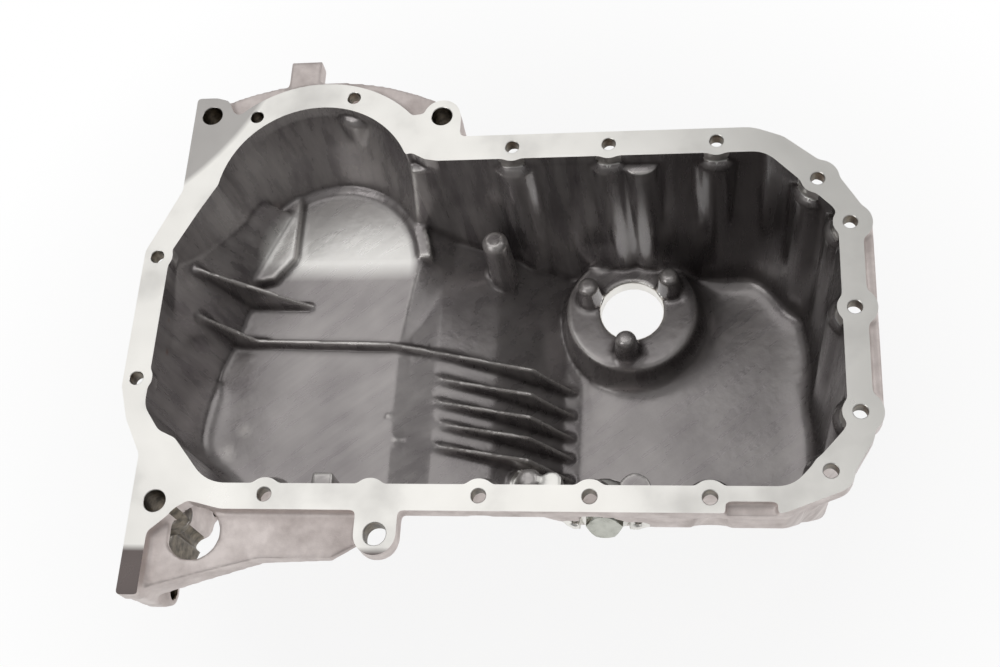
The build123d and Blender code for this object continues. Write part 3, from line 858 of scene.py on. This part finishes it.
def inOutline(points, outline):
    # Which points lie inside a closed outline, by counting crossings.
    crossed = np.zeros(len(points), bool)
    x, y = points[:, 0], points[:, 1]
    for (x0, y0), (x1, y1) in zip(outline, outline[1:] + outline[:1]):
        spans = (y0 > y) != (y1 > y)
        if y0 != y1:
            crossed ^= spans & (x < x0 + (y - y0) * (x1 - x0) / (y1 - y0))
    return crossed


# The room's walls at the gasket face, seen from above, and the round lobe beside them
wallLine = [
    (-272, -59), (-260, -76), (-249, -81), (-226, -108.5), (108, -108.5), (140, -72),
    (140, 64), (98, 106.5), (-98, 106.5), (-121, 112), (-150, 125), (-240, 110), (-257, 75), (-272, 44),
]
lobeCircle = (-182, 84, 64.5)


def ramp(values, span):
    start, end = span
    return np.clip((values - start) / (end - start), 0, 1)


def depthShare(points):
    # 1 low in the sump and at the foot of the bay's rear wall, 0 on the sensor seat and elsewhere.
    x, y, z = points.T / mm
    sump = ramp(z, pan["sumpLevel"]) * ramp(x, pan["sumpFrom"])
    sump *= ramp(np.hypot(x - pan["sensor"][0], y - pan["sensor"][1]), pan["seatRing"])
    bay = ramp(z, pan["bayLevel"]) * ramp(x, pan["bayFrom"]) * ramp(y, pan["bayAcross"])
    return np.maximum(sump, bay) * inOutline(points / mm, wallLine)


def soften(mesh):
    # Irons out the voxel steps, then fills the valleys like cast fillets, widest in the deep sump.
    # It returns the points and their bend: above 0 on a ridge, below 0 in a valley.
    points = readPoints(mesh)
    flat = np.empty(len(mesh.edges) * 2, np.int32)
    mesh.edges.foreach_get("vertices", flat)
    first, second = flat.reshape(-1, 2).T
    ends, others = np.concatenate((first, second)), np.concatenate((second, first))
    count = np.bincount(ends, minlength=len(points))
    normals = np.empty(len(points) * 3, np.float32)

    def average(values):
        return np.bincount(ends, values[others], len(points)) / count

    def pullInwards():
        return np.stack([average(points[:, k]) for k in range(3)], 1) - points

    def readNormals():
        mesh.vertices.foreach_set("co", points.astype(np.float32).ravel())
        mesh.update()
        mesh.vertex_normals.foreach_get("vector", normals)
        return normals.reshape(-1, 3)

    for step in range(pan["evening"]):
        points += 0.5 * pullInwards()
        points -= 0.53 * pullInwards()
    for step in range(pan["softening"]):
        pull = pullInwards()
        share = np.where((pull * readNormals()).sum(1) > 0, pan["valleyShare"], pan["ridgeShare"])
        share[points[:, 2] > pan["bossLevel"] * mm] *= pan["bossShare"]  # the milled bosses stay crisp
        points += pull * share[:, None]

    facing = readNormals()
    curve = (pullInwards() * facing).sum(1) / (pan["bendReach"] * mm)
    a, b, c, d = pan["creaseFrom"]
    x = points[:, 0] / mm
    crease = ramp(x, (a, b)) * ramp(x, (d, c)) * (facing[:, 2] > 0.9) * (np.abs(curve) < pan["creaseBend"])
    crease *= inOutline(points / mm, wallLine)
    depth = depthShare(points)
    valleyShare = pan["valleyShare"] * np.maximum(depth, crease)
    ridgeShare = np.maximum(pan["deepRidgeShare"] * depth, pan["valleyShare"] * crease)
    deep = np.nonzero(valleyShare > 0)[0]
    row = np.full(len(points), -1)
    row[deep] = np.arange(len(deep))
    linked = row[ends] >= 0
    rows, neighbours = row[ends[linked]], others[linked]
    for turn in range(pan["deepRounds"]):
        facing = readNormals()[deep]
        for step in range(pan["deepSteps"]):
            mean = np.stack(
                [np.bincount(rows, points[neighbours, k], len(deep)) for k in range(3)], 1
            ) / count[deep, None]
            pull = mean - points[deep]
            share = np.where((pull * facing).sum(1) > 0, valleyShare[deep], ridgeShare[deep])
            points[deep] += pull * share[:, None]

    bend = -(pullInwards() * readNormals()).sum(1) / (pan["bendReach"] * mm)
    for step in range(3):
        bend = (bend + average(bend)) / 2
    return points, np.clip(bend, -1, 1)


def markBends(mesh, points, bend):
    # Each point of the finished mesh takes the bend of the nearest softened point.
    tree = KDTree(len(points))
    for i, point in enumerate(points.tolist()):
        tree.insert(point, i)
    tree.balance()
    values = [bend[tree.find(vertex.co)[1]] for vertex in mesh.vertices]
    mesh.attributes.new("bend", "FLOAT", "POINT").data.foreach_set("value", values)


def addBeads(work):
    # A fillet bead where each nose stands on its column.
    steps, sides = 24, 10
    for x, y, inward in pan["beads"]:
        sections = []
        for i in range(steps + 1):
            turn = math.radians(inward + pan["beadSpan"] * (2 * i / steps - 1))
            out = Vector((math.cos(turn), math.sin(turn), 0))
            centre = Vector((x, y, -pan["beadDepth"])) + out * pan["beadRadius"]
            leans = [2 * math.pi * k / sides for k in range(sides)]
            around = [out * math.cos(lean) + Vector((0, 0, math.sin(lean))) for lean in leans]
            sections.append([work.verts.new((centre + way * pan["beadThick"]) * mm) for way in around])
        for one, two in zip(sections, sections[1:]):
            for k in range(sides):
                j = (k + 1) % sides
                work.faces.new((one[k], one[j], two[j], two[k]))
        work.faces.new(list(reversed(sections[0])))
        work.faces.new(sections[-1])


def makePan():
    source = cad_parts["pan_casting"]
    mesh = bpy.data.meshes.new("castPan")
    work = bmesh.new()
    work.from_mesh(source.data)
    bmesh.ops.remove_doubles(work, verts=work.verts, dist=0.001 * mm)
    for vert in work.verts:
        if abs(vert.co.z) < 0.01 * mm:
            vert.co.z = pan["allowance"] * mm
    addBeads(work)
    openEdges = sum(1 for edge in work.edges if len(edge.link_faces) != 2)
    work.to_mesh(mesh)
    work.free()
    print("casting copied, edges that aren't closed:", openEdges)
    piece = newPiece("castPan", mesh)
    voxels = piece.modifiers.new("voxels", "REMESH")
    voxels.mode = "VOXEL"
    voxels.voxel_size = pan["voxel"] * mm
    bakeModifiers(piece)
    print("casting remeshed:", len(piece.data.polygons))
    points, bend = soften(piece.data)
    faces = len(piece.data.polygons) * 2
    thin = piece.modifiers.new("thin", "DECIMATE")
    thin.ratio = min(1.0, pan["triangles"] / faces)
    bakeModifiers(piece)
    print("casting softened and thinned:", len(piece.data.polygons))
    for fill in (skimTop, drillBolts, boreSeats, millPockets, tapHoles):
        machine(piece, fill)
    markBends(piece.data, points, bend)
    return piece


def finishPan(piece):
    mesh = piece.data
    total = len(mesh.polygons)
    centres = np.empty(total * 3, np.float32)
    normals = np.empty(total * 3, np.float32)
    mesh.polygons.foreach_get("center", centres)
    mesh.polygons.foreach_get("normal", normals)
    centres, normals = centres.reshape(-1, 3) / mm, normals.reshape(-1, 3)
    x, y, z = centres.T
    cut = (np.abs(z) < 0.05) & (normals[:, 2] > 0.95)
    drilledWall = np.zeros(total, bool)
    for spots, radius in ((pan["smallHoles"], pan["smallRadius"]), (pan["largeHoles"], pan["largeRadius"])):
        for spotX, spotY in spots:
            away = np.hypot(x - spotX, y - spotY)
            cut |= (away < radius + 0.6) & (z > -0.5)
            drilledWall |= (away < radius + 0.6) & (z <= -0.5) & (z > -pan["holeDepth"])
    hollow = inOutline(centres, wallLine) | (np.hypot(x - lobeCircle[0], y - lobeCircle[1]) < lobeCircle[2])
    for spotX, spotY in pan["noseHoles"]:
        away = np.hypot(x - spotX, y - spotY)
        cut |= hollow & (away < pan["noseRadius"] + 1.4) & (z > -pan["noseDepth"])
    studX, studY, studRadius, studFoot = pan["flatStud"]
    cut |= (np.hypot(x - studX, y - studY) < studRadius) & (z > studFoot) & (normals[:, 2] > 0.7)
    cut |= (np.abs(x - pan["gearboxFace"]) < 0.5) & (normals[:, 0] < -0.9)
    for gearY, gearZ in pan["gearboxHoles"]:
        near = np.hypot(y - gearY, z - gearZ) < pan["gearboxRadius"] + 0.7
        drilledWall |= near & (x < pan["gearboxFace"] + pan["gearboxDepth"])
    bore = np.hypot(x - pan["sensor"][0], y - pan["sensor"][1])
    cut |= (bore < pan["sensorBore"] + 1.0) & (z < pan["sensorHeights"][0] + 2)
    cut |= (bore < pan["sensorRecess"] - 0.2) & (np.abs(z - pan["sensorHeights"][1]) < 0.3)
    for plane in (portPlane, drainPlane):
        matrix = np.array(seatMatrix(plane).inverted())
        local = centres * mm @ matrix[:3, :3].T + matrix[:3, 3]
        reach = np.hypot(local[:, 0], local[:, 1]) / mm
        height = local[:, 2] / mm
        cut |= (reach < spotFace["radius"] + 0.1) & (height > -plane["depth"]) & (height < spotFace["height"])
        if plane is portPlane:
            earX = np.abs(local[:, 0] / mm - portEars["shift"][0])
            earY = np.abs(local[:, 1] / mm - portEars["shift"][1])
            halfX, halfY, low, high = portEars["milledZone"]
            cut |= (earX < halfX) & (earY < halfY) & (height < high) & (height > low)
    tree = BVHTree.FromPolygons(
        [vertex.co for vertex in mesh.vertices], [polygon.vertices for polygon in mesh.polygons], epsilon=0.0
    )
    up = Vector((0, 0, 1))
    slot = np.full(total, 2, np.int32)
    for i in np.nonzero(hollow & ~cut & ~drilledWall & (z < -0.2))[0]:
        start = Vector(centres[i] * mm) + Vector(normals[i]) * (3 * mm)
        if tree.ray_cast(start, up)[0] is None:
            slot[i] = 1
    # Painted shade: faces behind the bracket's window take the dark drilled finish.
    middleX, middleY, halfX, halfY, top = pan["bracketWindow"]
    window = (np.abs(x - middleX) < halfX) & (np.abs(y - middleY) < halfY)
    slot[window & (z < top) & (normals[:, 2] > -0.3)] = 3
    slot[cut] = 0
    # Painted shade: the hole walls take the dark drilled finish.
    slot[drilledWall] = 3
    mesh.materials.clear()
    for name in ("milled", "inside", "outside", "drilled"):
        mesh.materials.append(finishes[name])
    mesh.polygons.foreach_set("material_index", slot)
    mesh.shade_smooth()
    mesh.set_sharp_from_angle(angle=math.radians(pan["sharpAngle"]))
    mesh.update()
    print(
        "casting finished:", total, "faces, milled/inside/outside/drilled",
        [int((slot == k).sum()) for k in range(4)],
    )


castPan = makePan()
finishPan(castPan)
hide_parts("pan_casting")
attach(castPan, "pan")

# Screw plugs: rolled thread, collar and bevelled hexagon head

screw = {
    "crest": 6.98,
    "root": 6.12,
    "pitch": 1.5,
    "length": 13.0,
    "lead": 1.2,
    "seat": 1.5,
    "collarRadius": 11.2,
    "collarHeight": 2.0,
    "acrossFlats": 19.0,
    "headHeight": 6.0,
    "bevelRadius": 9.1,
    "bevelSlope": 1.7,
    "steps": 120,
    "rowsPerTurn": 8,
    "sharpAngle": 32,
}


def threadRadius(height, turn):
    phase = (height / screw["pitch"] - turn / (2 * math.pi)) % 1.0
    tooth = min(1.0, max(0.0, 1.6 - 4 * abs(phase - 0.5))) if abs(phase - 0.5) < 0.4 else 0.0
    radius = screw["root"] + (screw["crest"] - screw["root"]) * tooth
    fade = min(1.0, max(0.0, (height + 1.5) / 1.5))
    radius += (screw["crest"] - 0.35 - radius) * fade  # plain shank under the collar
    return min(radius, screw["crest"] - screw["lead"] + height + screw["length"])


def hexRadius(turn):
    sixth = math.radians(60)
    return screw["acrossFlats"] / 2 / math.cos(turn % sixth - sixth / 2)


def plugRows():
    turns = [2 * math.pi * i / screw["steps"] for i in range(screw["steps"])]
    rows = []
    height = -screw["length"]
    while height < screw["seat"] - 0.05:
        rows.append((height, [threadRadius(height, turn) for turn in turns]))
        height += screw["pitch"] / screw["rowsPerTurn"]
    foot = screw["seat"]
    collar, top = screw["collarRadius"], foot + screw["collarHeight"]
    rows.append((foot, [threadRadius(foot, turn) for turn in turns]))
    for radius, height in (
        (collar - 0.3, foot), (collar, foot + 0.3), (collar, top - 0.5), (collar - 0.25, top - 0.12)
    ):
        rows.append((height, [radius] * screw["steps"]))
    crown = top + screw["headHeight"]
    corner = screw["acrossFlats"] / math.sqrt(3)
    start = crown - (corner - screw["bevelRadius"]) / screw["bevelSlope"]
    rows.append((top, [hexRadius(turn) for turn in turns]))
    for i in range(9):
        height = start + (crown - start) * i / 8
        limit = corner - (height - start) * screw["bevelSlope"]
        rows.append((height, [min(hexRadius(turn), limit) for turn in turns]))
    rows.append((crown - 0.12, [screw["bevelRadius"] - 1.2] * screw["steps"]))
    return rows


def makePlug(name, plane):
    work = bmesh.new()
    matrix = seatMatrix(plane)
    rings = []
    rows = plugRows()
    for height, radii in rows:
        points = []
        for i, radius in enumerate(radii):
            turn = 2 * math.pi * i / screw["steps"]
            points.append(Vector((radius * math.cos(turn), radius * math.sin(turn), height)) * mm)
        rings.append([work.verts.new(matrix @ point) for point in points])
    work.faces.new(list(reversed(rings[0])))
    work.faces.new(rings[-1])
    for lower, upper in zip(rings, rings[1:]):
        for i in range(screw["steps"]):
            j = (i + 1) % screw["steps"]
            work.faces.new((lower[i], lower[j], upper[j], upper[i]))
    bmesh.ops.remove_doubles(work, verts=work.verts, dist=0.002 * mm)
    mesh = bpy.data.meshes.new(name)
    work.to_mesh(mesh)
    work.free()
    mesh.shade_smooth()
    mesh.set_sharp_from_angle(angle=math.radians(screw["sharpAngle"]))
    mesh.materials.append(finishes["zinc"])
    return newPiece(name, mesh)


for name, plane, node, body in (
    ("portPlug", portPlane, "port_plug", "port_screw"),
    ("drainPlug", drainPlane, "drain_plug", "drain_screw"),
):
    plug = makePlug(name, plane)
    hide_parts(node)
    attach(plug, body)
for node in ("port_plug_washer", "drain_plug_washer"):
    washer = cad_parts[node]
    washer.data.materials.clear()
    washer.data.materials.append(finishes["washer"])
print("plugs and washers made")

bpy.context.scene.view_settings.view_transform = "Standard"
